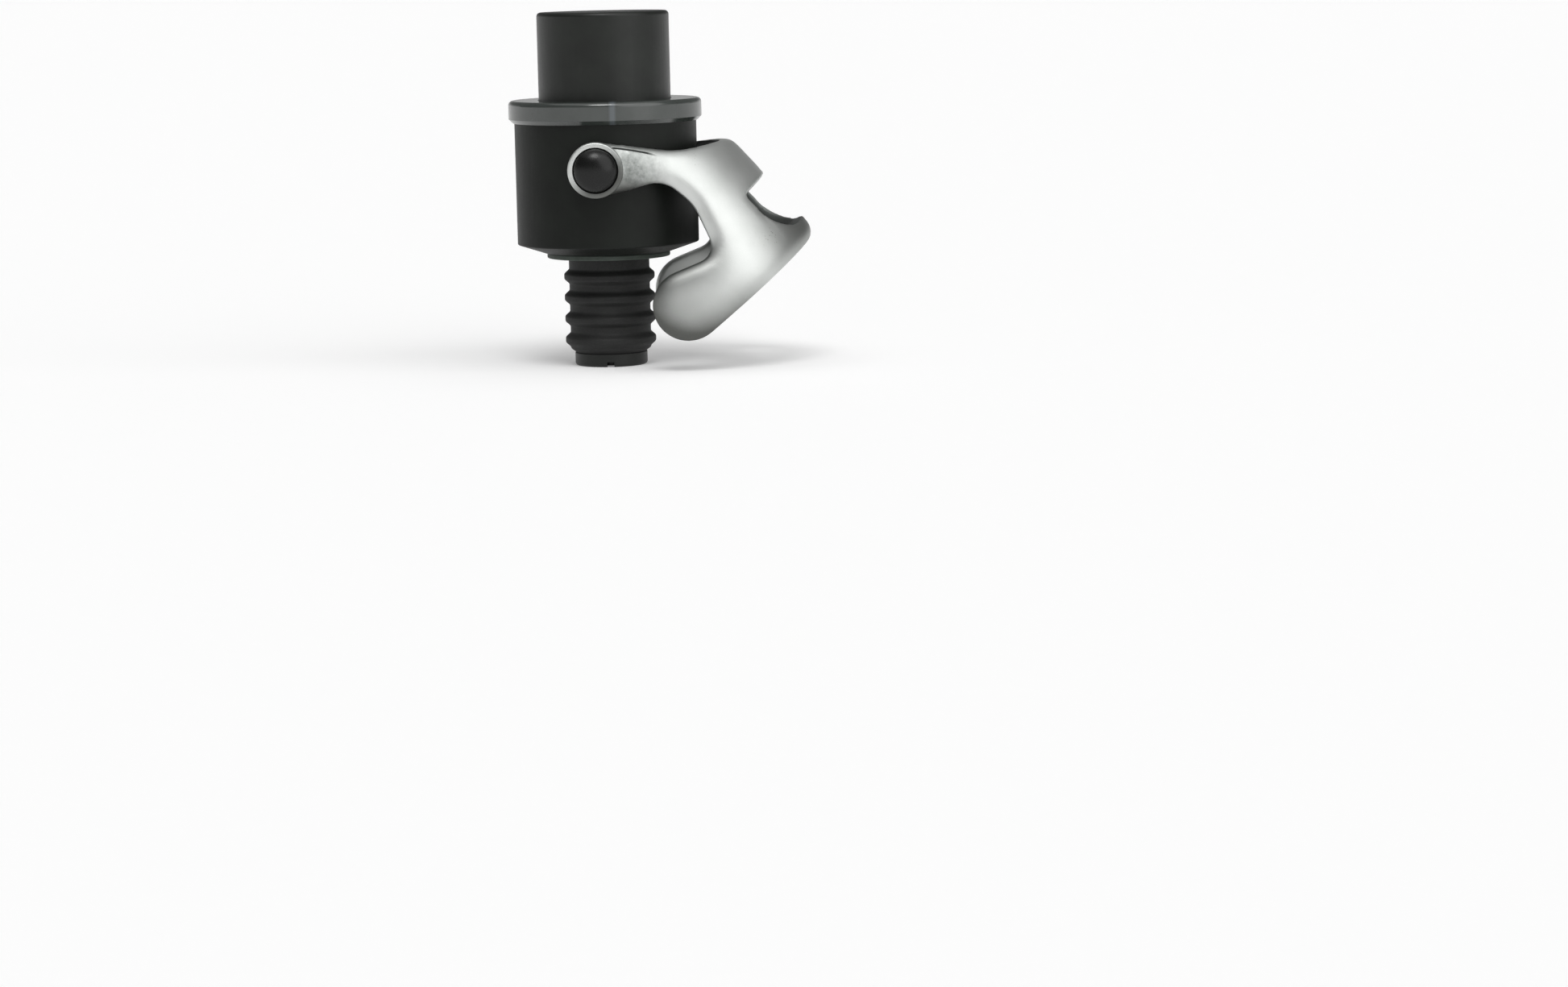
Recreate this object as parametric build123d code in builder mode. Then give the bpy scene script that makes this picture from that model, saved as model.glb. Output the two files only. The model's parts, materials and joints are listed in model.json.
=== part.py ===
"""Clamp-down stopper with a hand pump for sparkling-wine bottles. Millimetres.

The origin is on the stopper's axis, in the plane of the bottle's rim. +Z points up to the pump
knob and +X points to the back of the lever. The lever is stored half raised.
"""

import os
from math import acos, atan2, cos, hypot, radians, sin

from build123d import *

os.makedirs("parts", exist_ok=True)

# Driving dimensions of the outside
plug_rib_radius = 9.0
gasket_thickness = 1.0
gasket_inset = 0.4
housing_overhang = 9.0
housing_wall = 3.4
housing_wall_height = 24.0
housing_cone_height = 1.8
housing_cone_inset = 5.4
ring_overhang = 1.1
ring_height = 4.4
knob_exposed_height = 17.2
knob_wall = 1.6
knob_collar_width = 1.25
knob_collar_clearance = 0.3
pump_stroke = 14.0
pivot_below_ring = 8.6
pivot_before_axis = 1.6
lever_raised_angle = 40.0

# Fits that the pieces share
slide_clearance = 0.06
pin_clearance = 0.05
face_gap = 0.05
cut_overrun = 1.0

# Heights that follow from them
housing_bottom_z = gasket_thickness
housing_shoulder_z = housing_bottom_z + housing_cone_height
housing_top_z = housing_shoulder_z + housing_wall_height
ring_top_z = housing_top_z + ring_height
knob_top_z = ring_top_z + knob_exposed_height
pivot_x = -pivot_before_axis
pivot_z = housing_top_z - pivot_below_ring

# Radii that follow from the plug's
housing_radius = plug_rib_radius + housing_overhang
housing_cone_radius = housing_radius - housing_cone_inset
gasket_radius = housing_cone_radius - gasket_inset
housing_bore_radius = housing_radius - housing_wall
ring_radius = housing_radius + ring_overhang
knob_radius = housing_bore_radius - knob_collar_clearance - knob_collar_width
knob_bore_radius = knob_radius - knob_wall


def ring_of_revolution(points):
    """Closed profile of (radius, height) points, to be revolved about the stopper's axis."""
    with BuildSketch(Plane.XZ) as profile:
        with BuildLine():
            Polyline(*points, close=True)
        make_face()
    return profile.sketch


def circles(sub_part):
    """Circular edges of a sub-part."""
    return sub_part.edges().filter_by(GeomType.CIRCLE)


def save(shape, name):
    """Label a finished piece and write its file."""
    shape.label = name
    export_step(shape, f"parts/{name}.step")


# Rubber plug with ribs that press on the bottle's mouth, and a neck that the gasket lies round
stem_radius = 4.3
plug_length = 19.0
plug_rib_depth = 1.0
plug_rib_land = 1.2
plug_rib_count = 4
plug_first_rib_depth = 3.8
plug_last_rib_height = 2.6
plug_nose_inset = 1.0
plug_rib_span = plug_length - plug_first_rib_depth - plug_last_rib_height
plug_rib_pitch = plug_rib_span / (plug_rib_count - 1)
plug_core_radius = plug_rib_radius - plug_rib_depth
plug_nose_radius = plug_core_radius - plug_nose_inset

plug_profile = [(stem_radius, housing_bottom_z), (plug_core_radius, housing_bottom_z)]
for rib in range(plug_rib_count):
    rib_z = -plug_first_rib_depth - rib * plug_rib_pitch
    plug_profile += [
        (plug_core_radius, rib_z + plug_rib_land / 2 + plug_rib_depth),
        (plug_rib_radius, rib_z + plug_rib_land / 2),
        (plug_rib_radius, rib_z - plug_rib_land / 2),
        (plug_core_radius, rib_z - plug_rib_land / 2 - plug_rib_depth),
    ]
plug_profile += [(plug_nose_radius, -plug_length), (stem_radius, -plug_length)]

with BuildPart() as rubber_plug:
    add(ring_of_revolution(plug_profile))
    revolve(axis=Axis.Z)
save(rubber_plug.part, "rubber_plug")

# Rim gasket: the flat ring round the plug's neck, between the housing and the bottle's rim
with BuildPart() as rim_gasket:
    with BuildSketch():
        Circle(gasket_radius)
        Circle(plug_core_radius, mode=Mode.SUBTRACT)
    extrude(amount=gasket_thickness)
    gasket_edge_round = gasket_thickness / 4
    fillet(circles(rim_gasket).group_by(SortBy.RADIUS)[-1], gasket_edge_round)
save(rim_gasket.part, "rim_gasket")

# Levels inside the housing
housing_floor_thickness = 2.4
stem_flange_thickness = 1.2
valve_chamber_height = 0.6
well_floor_z = housing_bottom_z + housing_floor_thickness
ledge_z = well_floor_z + stem_flange_thickness + valve_chamber_height

# Screws of the barrel's foot
screw_count = 3
screw_shank_radius = 0.9
screw_head_radius = 1.4
screw_head_height = 0.9
screw_depth_in_housing = 3.0
screw_hole_clearance = 0.2
screw_slot_width = 0.5
screw_slot_depth = 0.4
barrel_foot_clearance = 0.3
barrel_foot_radius = housing_bore_radius - barrel_foot_clearance
screw_circle_radius = barrel_foot_radius - screw_head_radius

# Cord seals that lie in grooves as deep as the cord is thick, and the well inside them
seal_cord_radius = 0.5
seal_groove_half_width = 0.6
seal_land = 0.8
well_clearance = 0.4
barrel_seal_radius = screw_circle_radius - screw_shank_radius - seal_land - seal_groove_half_width
well_radius = barrel_seal_radius - seal_groove_half_width - seal_land
stem_flange_radius = well_radius - well_clearance
stem_seal_radius = (stem_radius + stem_flange_radius) / 2

# Pivots at the housing's two sides
pad_radius = 4.8
pad_stand = 0.1
pad_clearance = 0.4
washer_radius = 4.6
washer_thickness = 0.25
pin_shank_radius = 1.9
pin_tip_radius = 1.5
pin_tip_length = 2.2
pin_tip_spare = 0.2
pad_reach = housing_radius + pad_stand

pivot_plane = Plane(origin=(pivot_x, 0, pivot_z), x_dir=(1, 0, 0), z_dir=(0, 0, 1))
pivot_axis = Axis((pivot_x, 0, pivot_z), (0, 1, 0))
pivot_side_plane = Plane(origin=(pivot_x, 0, pivot_z), x_dir=(1, 0, 0), z_dir=(0, -1, 0))

# Housing: black cup with a conical underside, a pad at each pivot and a stepped floor
housing_edge_round = 0.3

with BuildPart() as housing:
    with BuildSketch(Plane.XZ):
        with BuildLine():
            Polyline(
                (stem_radius, housing_bottom_z),
                (housing_cone_radius, housing_bottom_z),
                (housing_radius, housing_shoulder_z),
                (housing_radius, housing_top_z),
                (housing_bore_radius, housing_top_z),
                (housing_bore_radius, ledge_z),
                (well_radius, ledge_z),
                (well_radius, well_floor_z),
                (stem_radius, well_floor_z),
                close=True,
            )
        make_face()
    revolve(axis=Axis.Z)
    fillet(circles(housing).group_by(SortBy.RADIUS)[-1].sort_by(Axis.Z)[0], housing_edge_round)
    # Pads that the pivot washers lie on
    with BuildSketch(pivot_side_plane):
        Circle(pad_radius)
    extrude(amount=pad_reach, both=True)
    with BuildSketch(Plane.XY.offset(ledge_z)):
        Circle(housing_bore_radius)
    extrude(amount=housing_top_z - ledge_z, mode=Mode.SUBTRACT)
    # Blind holes for the tips of the pivot pins
    for side in (-1, 1):
        tip_end = side * (pad_reach - pin_tip_length - pin_tip_spare)
        with BuildSketch(pivot_side_plane.offset(-tip_end)):
            Circle(pin_tip_radius)
        extrude(amount=-side * (pin_tip_length + pin_tip_spare + cut_overrun), mode=Mode.SUBTRACT)
    # Grooves of the two cord seals
    for floor_z, seal_radius in ((well_floor_z, stem_seal_radius), (ledge_z, barrel_seal_radius)):
        with BuildSketch(Plane.XY.offset(floor_z)):
            Circle(seal_radius + seal_groove_half_width)
            Circle(seal_radius - seal_groove_half_width, mode=Mode.SUBTRACT)
        extrude(amount=-2 * seal_cord_radius, mode=Mode.SUBTRACT)
    # Pilot holes of the barrel screws
    with BuildSketch(Plane.XY.offset(ledge_z)):
        with PolarLocations(screw_circle_radius, screw_count):
            Circle(screw_shank_radius)
    extrude(amount=-screw_depth_in_housing, mode=Mode.SUBTRACT)
save(housing.part, "housing")

# Cord seals under the stem's flange and under the barrel's foot
with BuildPart() as stem_seal:
    with BuildSketch(Plane.XZ):
        with Locations((stem_seal_radius, well_floor_z - seal_cord_radius)):
            Circle(seal_cord_radius)
    revolve(axis=Axis.Z)
save(stem_seal.part, "stem_seal")

with BuildPart() as barrel_seal:
    with BuildSketch(Plane.XZ):
        with Locations((barrel_seal_radius, ledge_z - seal_cord_radius)):
            Circle(seal_cord_radius)
    revolve(axis=Axis.Z)
save(barrel_seal.part, "barrel_seal")

# Valve stem: the flanged tube that carries air down through the plug
stem_bore_radius = 2.0
stem_thread_radius = 3.6
retainer_height = 2.5
stem_bottom_z = -plug_length - retainer_height

with BuildPart() as valve_stem:
    add(
        ring_of_revolution(
            [
                (stem_bore_radius, stem_bottom_z),
                (stem_thread_radius, stem_bottom_z),
                (stem_thread_radius, -plug_length),
                (stem_radius, -plug_length),
                (stem_radius, well_floor_z),
                (stem_flange_radius, well_floor_z),
                (stem_flange_radius, well_floor_z + stem_flange_thickness),
                (stem_bore_radius, well_floor_z + stem_flange_thickness),
            ]
        )
    )
    revolve(axis=Axis.Z)
save(valve_stem.part, "valve_stem")

# Plug retainer: the round nut on the stem's lower end, with two spanner slots
retainer_step = 0.2
retainer_radius = plug_nose_radius + retainer_step
retainer_edge_round = 0.6
retainer_slot_width = 1.4
retainer_slot_depth = 1.0

with BuildPart() as plug_retainer:
    with BuildSketch(Plane.XY.offset(stem_bottom_z)):
        Circle(retainer_radius)
        Circle(stem_thread_radius, mode=Mode.SUBTRACT)
    extrude(amount=retainer_height)
    fillet(plug_retainer.edges().group_by(Axis.Z)[0].sort_by(SortBy.RADIUS)[-1], retainer_edge_round)
    with BuildSketch(Plane.XY.offset(stem_bottom_z)):
        with PolarLocations((retainer_radius + stem_thread_radius) / 2, 2, start_angle=90):
            Rectangle(retainer_radius - stem_thread_radius + cut_overrun, retainer_slot_width)
    extrude(amount=retainer_slot_depth, mode=Mode.SUBTRACT)
save(plug_retainer.part, "plug_retainer")

# Pump barrel: the cylinder of the pump, its valve floor and its screwed foot
barrel_wall = 1.2
barrel_foot_height = 1.6
barrel_above_piston = 1.5
spring_channel_width = 1.25
valve_recess_radius = 5.2
valve_recess_depth = 0.6
valve_pin_radius = 0.9
valve_vent_radius = 0.6
valve_vent_count = 4
valve_vent_circle = 2.8
inlet_hole_radius = 0.7
inlet_below_piston = 1.4
barrel_radius = knob_bore_radius - spring_channel_width
barrel_bore_radius = barrel_radius - barrel_wall
barrel_floor_z = ledge_z + barrel_foot_height

# Piston levels at the top of the stroke
valve_head_height = 1.0
piston_bottom_gap = 0.4
piston_height = 2.8
piston_bottom_z = barrel_floor_z + valve_head_height + piston_bottom_gap + pump_stroke
piston_top_z = piston_bottom_z + piston_height
barrel_top_z = piston_top_z + barrel_above_piston

with BuildPart() as pump_barrel:
    add(
        ring_of_revolution(
            [
                (0, ledge_z + valve_recess_depth),
                (valve_recess_radius, ledge_z + valve_recess_depth),
                (valve_recess_radius, ledge_z),
                (barrel_foot_radius, ledge_z),
                (barrel_foot_radius, barrel_floor_z),
                (barrel_radius, barrel_floor_z),
                (barrel_radius, barrel_top_z),
                (barrel_bore_radius, barrel_top_z),
                (barrel_bore_radius, barrel_floor_z),
                (0, barrel_floor_z),
            ]
        )
    )
    revolve(axis=Axis.Z)
    # Hole for the valve's pin, its vents and the screw holes, all through the floor
    with BuildSketch(Plane.XY.offset(ledge_z)):
        Circle(valve_pin_radius)
        with PolarLocations(valve_vent_circle, valve_vent_count):
            Circle(valve_vent_radius)
        with PolarLocations(screw_circle_radius, screw_count):
            Circle(screw_shank_radius + screw_hole_clearance)
    extrude(amount=barrel_foot_height, mode=Mode.SUBTRACT)
    # Air inlet in the wall, just under the raised piston
    with BuildSketch(Plane.YZ):
        with Locations((0, piston_bottom_z - inlet_below_piston)):
            Circle(inlet_hole_radius)
    extrude(amount=barrel_radius + cut_overrun, mode=Mode.SUBTRACT)
save(pump_barrel.part, "pump_barrel")

# Barrel screws: three alike, slotted, in one group
screw_sketch_z = ledge_z - screw_depth_in_housing

with BuildPart() as barrel_screws:
    with BuildSketch(Plane.XY.offset(screw_sketch_z)):
        with PolarLocations(screw_circle_radius, screw_count):
            Circle(screw_shank_radius)
    extrude(amount=barrel_floor_z - screw_sketch_z)
    with BuildSketch(Plane.XY.offset(barrel_floor_z)):
        with PolarLocations(screw_circle_radius, screw_count):
            Circle(screw_head_radius)
    extrude(amount=screw_head_height)
    with BuildSketch(Plane.XY.offset(barrel_floor_z + screw_head_height)):
        with PolarLocations(screw_circle_radius, screw_count):
            Rectangle(2 * screw_head_radius, screw_slot_width)
    extrude(amount=-screw_slot_depth, mode=Mode.SUBTRACT)
save(barrel_screws.part, "barrel_screws")

# Check valve: the rubber umbrella that opens downwards
valve_disc_radius = 4.4
valve_disc_thickness = 0.5
valve_head_radius = 1.4

with BuildPart() as check_valve:
    valve_disc_top = ledge_z + valve_recess_depth
    add(
        ring_of_revolution(
            [
                (0, valve_disc_top - valve_disc_thickness),
                (valve_disc_radius, valve_disc_top - valve_disc_thickness / 2),
                (valve_disc_radius, valve_disc_top),
                (valve_pin_radius, valve_disc_top),
                (valve_pin_radius, barrel_floor_z),
                (valve_head_radius, barrel_floor_z),
                (valve_pin_radius, barrel_floor_z + valve_head_height),
                (0, barrel_floor_z + valve_head_height),
            ]
        )
    )
    revolve(axis=Axis.Z)
save(check_valve.part, "check_valve")

# Top ring: grey ring with a spigot in the housing's bore
ring_lip_height = 1.2
ring_lip_clearance = 0.2
ring_top_round = 0.9
ring_bottom_bevel = 0.8
spigot_length = 1.2
spigot_clearance = 0.05
bush_wall = 0.9
bush_bore_radius = knob_radius + slide_clearance
bush_radius = bush_bore_radius + bush_wall
spigot_bottom_z = housing_top_z - spigot_length
bush_top_z = ring_top_z - ring_lip_height

with BuildPart() as top_ring:
    add(
        ring_of_revolution(
            [
                (housing_bore_radius - spigot_clearance, housing_top_z),
                (ring_radius, housing_top_z),
                (ring_radius, ring_top_z),
                (knob_radius + ring_lip_clearance, ring_top_z),
                (knob_radius + ring_lip_clearance, bush_top_z),
                (bush_radius, bush_top_z),
                (bush_radius, spigot_bottom_z),
                (housing_bore_radius - spigot_clearance, spigot_bottom_z),
            ]
        )
    )
    revolve(axis=Axis.Z)
    fillet(circles(top_ring).group_by(SortBy.RADIUS)[-1].sort_by(Axis.Z)[-1], ring_top_round)
    chamfer(circles(top_ring).group_by(SortBy.RADIUS)[-1].sort_by(Axis.Z)[0], ring_bottom_bevel)
save(top_ring.part, "top_ring")

# Guide bush: centres the knob inside the ring
with BuildPart() as guide_bush:
    with BuildSketch(Plane.XY.offset(spigot_bottom_z)):
        Circle(bush_radius)
        Circle(bush_bore_radius, mode=Mode.SUBTRACT)
    extrude(amount=bush_top_z - spigot_bottom_z)
save(guide_bush.part, "guide_bush")

# Pump knob: smooth black cap with a socket for the piston rod
knob_roof = 2.0
knob_top_round = 0.8
knob_collar_height = 2.0
rod_radius = 2.5
rod_thread_radius = 1.9
rod_thread_length = 5.0
socket_wall = 1.3
knob_collar_top_z = spigot_bottom_z - face_gap
knob_bottom_z = knob_collar_top_z - knob_collar_height
knob_ceiling_z = knob_top_z - knob_roof
socket_bottom_z = knob_ceiling_z - rod_thread_length

with BuildPart() as pump_knob:
    with BuildSketch(Plane.XY.offset(knob_bottom_z)):
        Circle(knob_radius)
    extrude(amount=knob_top_z - knob_bottom_z)
    fillet(pump_knob.edges().group_by(Axis.Z)[-1], knob_top_round)
    with BuildSketch(Plane.XY.offset(knob_bottom_z)):
        Circle(knob_bore_radius)
    extrude(amount=knob_ceiling_z - knob_bottom_z, mode=Mode.SUBTRACT)
    with BuildSketch(Plane.XY.offset(socket_bottom_z)):
        Circle(rod_thread_radius + socket_wall)
    extrude(amount=rod_thread_length)
    with BuildSketch(Plane.XY.offset(socket_bottom_z)):
        Circle(rod_thread_radius)
    extrude(amount=rod_thread_length, mode=Mode.SUBTRACT)
save(pump_knob.part, "pump_knob")

# Knob collar: screwed round the knob's lower end, it stops the knob under the top ring
with BuildPart() as knob_collar:
    with BuildSketch(Plane.XY.offset(knob_bottom_z)):
        Circle(housing_bore_radius - knob_collar_clearance)
        Circle(knob_radius, mode=Mode.SUBTRACT)
    extrude(amount=knob_collar_height)
save(knob_collar.part, "knob_collar")

# Piston rod: from the knob's socket down to the piston
piston_screw_radius = 1.1
piston_screw_depth = 6.0

with BuildPart() as piston_rod:
    add(
        ring_of_revolution(
            [
                (0, piston_top_z + piston_screw_depth),
                (piston_screw_radius, piston_top_z + piston_screw_depth),
                (piston_screw_radius, piston_top_z),
                (rod_radius, piston_top_z),
                (rod_radius, socket_bottom_z),
                (rod_thread_radius, socket_bottom_z),
                (rod_thread_radius, knob_ceiling_z),
                (0, knob_ceiling_z),
            ]
        )
    )
    revolve(axis=Axis.Z)
save(piston_rod.part, "piston_rod")

# Piston head with the groove of its seal and a recess for its screw
piston_clearance = 0.3
piston_seal_cord = 0.8
piston_groove_height = 1.7
piston_screw_head_radius = 2.1
piston_screw_head_height = 1.0
piston_radius = barrel_bore_radius - piston_clearance
piston_seal_outer = barrel_bore_radius - pin_clearance
piston_groove_radius = piston_seal_outer - 2 * piston_seal_cord
piston_groove_bottom_z = piston_bottom_z + (piston_height - piston_groove_height) / 2
piston_groove_top_z = piston_groove_bottom_z + piston_groove_height

with BuildPart() as piston_head:
    add(
        ring_of_revolution(
            [
                (piston_screw_head_radius, piston_bottom_z),
                (piston_radius, piston_bottom_z),
                (piston_radius, piston_groove_bottom_z),
                (piston_groove_radius, piston_groove_bottom_z),
                (piston_groove_radius, piston_groove_top_z),
                (piston_radius, piston_groove_top_z),
                (piston_radius, piston_top_z),
                (piston_screw_radius, piston_top_z),
                (piston_screw_radius, piston_bottom_z + piston_screw_head_height),
                (piston_screw_head_radius, piston_bottom_z + piston_screw_head_height),
            ]
        )
    )
    revolve(axis=Axis.Z)
save(piston_head.part, "piston_head")

with BuildPart() as piston_seal:
    piston_seal_z = (piston_groove_bottom_z + piston_groove_top_z) / 2
    with BuildSketch(Plane.XZ):
        with Locations((piston_groove_radius + piston_seal_cord, piston_seal_z)):
            Circle(piston_seal_cord)
    revolve(axis=Axis.Z)
save(piston_seal.part, "piston_seal")

with BuildPart() as piston_screw:
    add(
        ring_of_revolution(
            [
                (0, piston_bottom_z),
                (piston_screw_head_radius, piston_bottom_z),
                (piston_screw_head_radius, piston_bottom_z + piston_screw_head_height),
                (piston_screw_radius, piston_bottom_z + piston_screw_head_height),
                (piston_screw_radius, piston_top_z + piston_screw_depth),
                (0, piston_top_z + piston_screw_depth),
            ]
        )
    )
    revolve(axis=Axis.Z)
    with BuildSketch(Plane.XY.offset(piston_bottom_z)):
        Rectangle(2 * piston_screw_head_radius, screw_slot_width)
    extrude(amount=screw_slot_depth, mode=Mode.SUBTRACT)
save(piston_screw.part, "piston_screw")

# Return spring: round the barrel, from its foot to the knob's ceiling
spring_wire_radius = 0.45
spring_turns = 9
spring_radius = (barrel_radius + knob_bore_radius) / 2
spring_bottom_z = barrel_floor_z + spring_wire_radius
spring_top_z = knob_ceiling_z - spring_wire_radius
spring_height = spring_top_z - spring_bottom_z

with BuildPart() as return_spring:
    with BuildLine(Plane.XY.offset(spring_bottom_z)):
        spring_path = Helix(pitch=spring_height / spring_turns, height=spring_height, radius=spring_radius)
    with BuildSketch(Plane(origin=spring_path @ 0, z_dir=spring_path % 0)):
        Circle(spring_wire_radius)
    sweep(path=spring_path, is_frenet=True)
save(return_spring.part, "return_spring")
print("spring gap between turns", round(spring_height / spring_turns - 2 * spring_wire_radius, 3))

# Lever, first in its locked pose. Its heights are measured from the pivot, downwards negative,
# and its lengths from the pivot towards the back.
lever_clearance = 0.4
lever_arm_thickness = 2.1
lever_back_thickness = 3.5
lever_tip_thickness = 4.0
lip_depth = 2.8
cavity_lean = 7.0
cavity_lean_start = -20.0
lever_back_height = -18.0
lever_inner_radius = housing_radius + lever_clearance
lip_inner_radius = lever_inner_radius - lip_depth
lever_back_radius = lever_inner_radius + lever_back_thickness
lever_tip_radius = lever_inner_radius + lever_tip_thickness
arm_outer_reach = lever_inner_radius + lever_arm_thickness
eye_radius = 5.7
eye_thickness = 3.1
eye_inner_reach = pad_reach + washer_thickness + face_gap
eye_outer_reach = eye_inner_reach + eye_thickness
eye_recess_depth = 1.0
pin_head_radius = 4.3
pin_head_clearance = 0.1
jaw_bottom = -38.5
lip_height = 4.0
prong_radius = 6.95
prong_centre = (-3.85, jaw_bottom + prong_radius)
arm_top_bend = (14.0, -7.3)
arm_top_bend_radius = 20.0
lever_back_top = (lever_back_radius - pivot_x, -13.2)
throat_corner = (6.9, -27.8)
throat_corner_radius = 3.2
spine_bend = (9.7, -17.4)
spine_bend_radius = 10.0
arm_under_corner = (8.3, -10.0)
arm_under_corner_radius = 6.0
window_top = -23.0
window_bottom = -34.2
window_half_width = 13.5
window_bottom_round = 7.0
window_top_round = 0.8
lever_outer_round = 1.9
window_edge_round = 0.5
window_margin = 0.4
eye_rim_round = 0.5
eye_step = 0.2
wall_margin = 0.8
across_share = 0.8


def tangent_point(centre, radius, outside, turn):
    """Point where the line from an outside point touches a circle, on the side that turn gives."""
    across = outside[0] - centre[0]
    up = outside[1] - centre[1]
    angle = atan2(up, across) + turn * acos(radius / hypot(across, up))
    return (centre[0] + radius * cos(angle), centre[1] + radius * sin(angle))


def on_outside(edge):
    """Whether an edge bounds the outer face of the lever's wall, apart from the smooth seams in it."""
    start, middle = edge @ 0, edge @ 0.5
    in_outer_half = hypot(max(middle.X, 0), middle.Y) > lever_inner_radius + wall_margin
    along_seam = abs(start.X) < wall_margin and abs(middle.X) < wall_margin
    through_wall = edge.geom_type == GeomType.LINE and abs((edge % 0.5).Y) > across_share
    return in_outer_half and not along_seam and not through_wall


def beside_window(edge):
    """Whether an edge lies at the window of the lever's back."""
    middle = edge @ 0.5
    level = window_bottom - window_margin < middle.Z - pivot_z < window_top + window_margin
    return level and middle.X > 0 and abs(middle.Y) < window_half_width + window_margin


def dome_reach(offset):
    """Reach of the pin head's dome at an offset from its middle: a part of a ball."""
    ball_radius = (pin_head_radius**2 + pin_dome_height**2) / (2 * pin_dome_height)
    return pin_rim_reach + pin_dome_height - ball_radius + (ball_radius**2 - offset**2) ** 0.5


eye_centre = (0, 0)
eye_top_touch = tangent_point(eye_centre, eye_radius, arm_top_bend, 1)
eye_under_touch = tangent_point(eye_centre, eye_radius, arm_under_corner, -1)
prong_top_touch = tangent_point(prong_centre, prong_radius, throat_corner, 1)
prong_bottom_touch = (prong_centre[0], jaw_bottom)
behind_lever = lever_tip_radius - pivot_x + cut_overrun
lever_height_z = pivot_z + eye_radius + cut_overrun
jaw_bottom_z = pivot_z + jaw_bottom
lip_top_z = jaw_bottom_z + lip_height

with BuildPart() as lever:
    # Walls: a half round back that runs straight forward into the two cheeks, with a lip below
    with BuildSketch(Plane.YZ) as wall_section:
        with BuildLine():
            Polyline(
                (arm_outer_reach, lever_height_z),
                (lever_inner_radius, lever_height_z),
                (lever_inner_radius, lip_top_z),
                (lip_inner_radius, lip_top_z),
                (lip_inner_radius, jaw_bottom_z),
                (lever_tip_radius, jaw_bottom_z),
            )
            ThreePointArc(
                (lever_tip_radius, jaw_bottom_z),
                (lever_back_radius, pivot_z + lever_back_height),
                (arm_outer_reach, lever_height_z),
            )
        make_face()
    revolve(axis=Axis.Z, revolution_arc=-180)
    far_section = mirror(wall_section.sketch, about=Plane.XZ, mode=Mode.PRIVATE)
    for side_section in (wall_section.sketch, far_section):
        add(extrude(side_section, amount=-housing_radius, dir=(1, 0, 0), mode=Mode.PRIVATE))
    # Side view: eye, arm, back, jaw and the throat between arm and jaw
    with BuildSketch(pivot_side_plane):
        with BuildLine():
            FilletPolyline(
                eye_top_touch,
                arm_top_bend,
                lever_back_top,
                radius=arm_top_bend_radius,
            )
            Polyline(
                lever_back_top,
                (behind_lever, lever_back_top[1]),
                (behind_lever, jaw_bottom),
                prong_bottom_touch,
            )
            ThreePointArc(
                prong_bottom_touch,
                (prong_centre[0] - prong_radius, prong_centre[1]),
                prong_top_touch,
            )
            FilletPolyline(
                prong_top_touch,
                throat_corner,
                spine_bend,
                arm_under_corner,
                eye_under_touch,
                radius=[throat_corner_radius, spine_bend_radius, arm_under_corner_radius],
            )
            ThreePointArc(eye_under_touch, (-eye_radius, 0), eye_top_touch)
        make_face()
    extrude(amount=lever_tip_radius + cut_overrun, both=True, mode=Mode.INTERSECT)
    # Window in the back wall
    with BuildSketch(Plane.YZ.offset(lever_inner_radius / 2)) as window:
        with Locations((0, pivot_z + (window_top + window_bottom) / 2)):
            Rectangle(2 * window_half_width, window_top - window_bottom)
        fillet(window.vertices().group_by(Axis.Y)[0], window_bottom_round)
        fillet(window.vertices().group_by(Axis.Y)[-1], window_top_round)
    extrude(amount=lever_tip_radius, mode=Mode.SUBTRACT)
    # Broad rounding round the outline and a small one round the window
    fillet(lever.edges().filter_by(on_outside).filter_by(beside_window, reverse=True), lever_outer_round)
    fillet(lever.edges().filter_by(on_outside).filter_by(beside_window), window_edge_round)
    # Leaning bore inside the arms, so that they clear the housing when the lever is raised
    cavity_base = Plane(
        origin=(0, 0, pivot_z + cavity_lean_start),
        x_dir=(0, 1, 0),
        z_dir=(sin(radians(cavity_lean)), 0, cos(radians(cavity_lean))),
    )
    with BuildSketch(cavity_base):
        Circle(lever_inner_radius)
    extrude(amount=-cavity_lean_start + housing_radius, mode=Mode.SUBTRACT)
    # Eyes: a raised round boss on each arm, recessed for the pin's head
    for side in (-1, 1):
        with BuildSketch(pivot_plane) as eye_section:
            with Locations(((eye_radius - eye_step) / 2, side * (eye_inner_reach + eye_outer_reach) / 2)):
                Rectangle(eye_radius - eye_step, eye_outer_reach - eye_inner_reach)
            outer_corner = eye_section.vertices().sort_by(lambda corner: corner.X + side * corner.Y)[-1]
            fillet(outer_corner, eye_rim_round)
        revolve(axis=pivot_axis)
        with BuildSketch(pivot_side_plane.offset(-side * (eye_outer_reach - eye_recess_depth))):
            Circle(pin_head_radius + pin_head_clearance)
        extrude(amount=-side * (eye_recess_depth + cut_overrun), mode=Mode.SUBTRACT)
    # Flat seats for the washers and holes for the pins
    with BuildSketch(pivot_side_plane):
        Circle(pad_radius + pad_clearance)
    extrude(amount=eye_inner_reach, both=True, mode=Mode.SUBTRACT)
    with BuildSketch(pivot_side_plane):
        Circle(pin_shank_radius + pin_clearance)
    extrude(amount=lever_tip_radius, both=True, mode=Mode.SUBTRACT)
save(lever.part.rotate(pivot_axis, -lever_raised_angle), "lever")

# Pivot pins with domed heads, and the washers between the eyes and the housing
pin_head_rim = 0.35
pin_dome_height = 1.7
pin_head_reach = eye_outer_reach - eye_recess_depth + face_gap
pin_rim_reach = eye_outer_reach + pin_head_rim

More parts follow.
